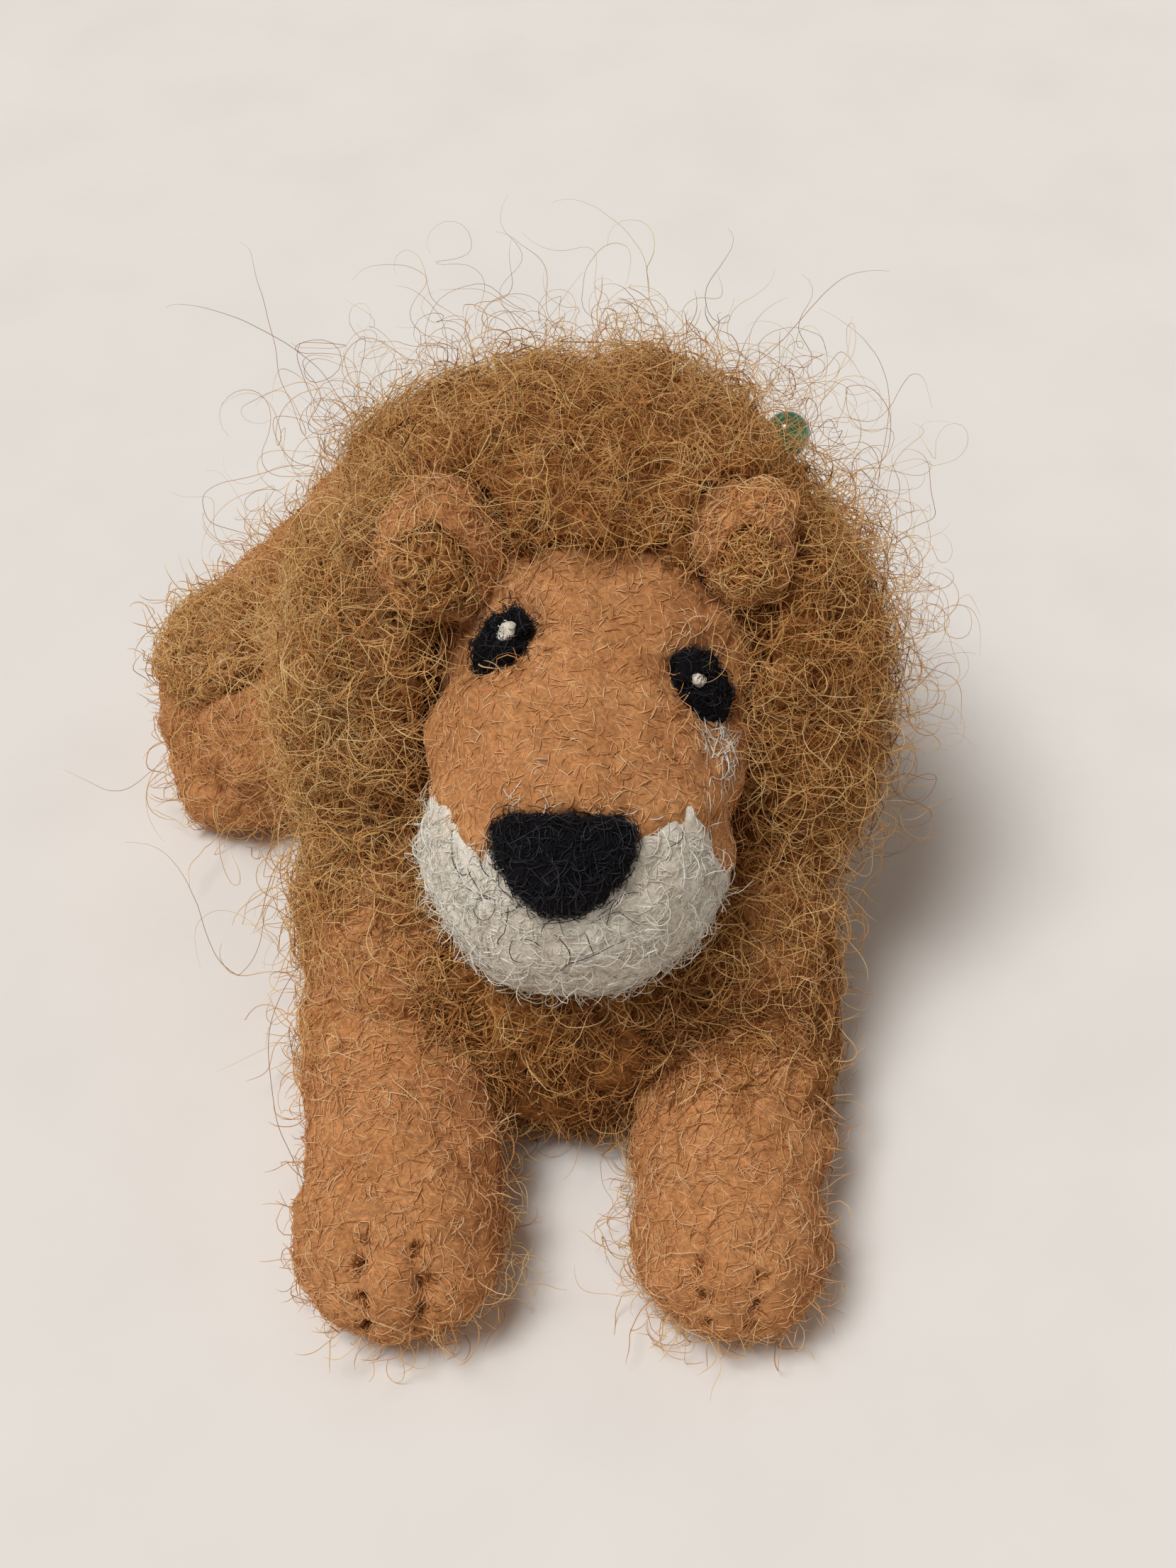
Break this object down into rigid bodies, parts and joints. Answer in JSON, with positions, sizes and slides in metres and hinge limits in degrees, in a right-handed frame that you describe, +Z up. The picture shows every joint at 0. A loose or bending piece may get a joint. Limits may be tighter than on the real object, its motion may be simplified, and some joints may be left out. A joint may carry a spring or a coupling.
{
  "type": "needle-felted lion figure",
  "caption": "Small needle-felted wool lion lying down with its head raised and a loose curly mane, with a ball-headed pin pushed into the mane.",
  "frame": {"origin": "on the ground, under the middle of the lion's outline", "axes": "+Z up, the lion faces -Y, its left side is +X"},
  "size_m": [0.0672, 0.0978, 0.0531],
  "materials": {
    "tan_wool": "matte needle-felted wool, orange tan",
    "brown_wool": "loose curly wool, golden brown",
    "white_wool": "matte needle-felted wool, off-white",
    "black_wool": "matte needle-felted wool, black",
    "core_wool": "firm undyed core wool, not seen",
    "pin_glass": "polished dark green glass",
    "pin_steel": "bright drawn steel wire"
  },
  "bodies": {
    "lion": {"body_coat": "tan_wool", "head_coat": "tan_wool", "muzzle_bridge": "tan_wool", "ear_right": "tan_wool", "front_leg_right": "tan_wool", "front_paw_right": "tan_wool", "haunch_right": "tan_wool", "hind_paw_right": "tan_wool", "ear_left": "tan_wool", "front_leg_left": "tan_wool", "front_paw_left": "tan_wool", "haunch_left": "tan_wool", "hind_paw_left": "tan_wool", "mane_crown": "brown_wool", "mane_nape": "brown_wool", "mane_right_lock": "brown_wool", "mane_left_lock": "brown_wool", "chest_ruff": "brown_wool", "ear_lining_right": "brown_wool", "ear_lining_left": "brown_wool", "muzzle": "white_wool", "eye_glint_right": "white_wool", "eye_glint_left": "white_wool", "nose": "black_wool", "eye_right": "black_wool", "eye_left": "black_wool", "body_core": "core_wool", "head_core": "core_wool", "neck": "core_wool"},
    "pin": {"pin_head": "pin_glass", "pin_shaft": "pin_steel"},
    "tail_body": {"tail": "tan_wool", "tail_tuft": "brown_wool"}
  },
  "joints": [
    {"name": "pin_pull", "type": "slide", "parent": "lion", "child": "pin", "axis": [0.5911, 0.3149, 0.7426], "range_m": [0, 0.034]},
    {"name": "tail_lift", "type": "hinge", "parent": "lion", "child": "tail_body", "pos_m": [-0.0073, 0.04235, 0.0105], "axis": [-0.8521, 0.5234, 0], "range_deg": [0, 40]}
  ]
}
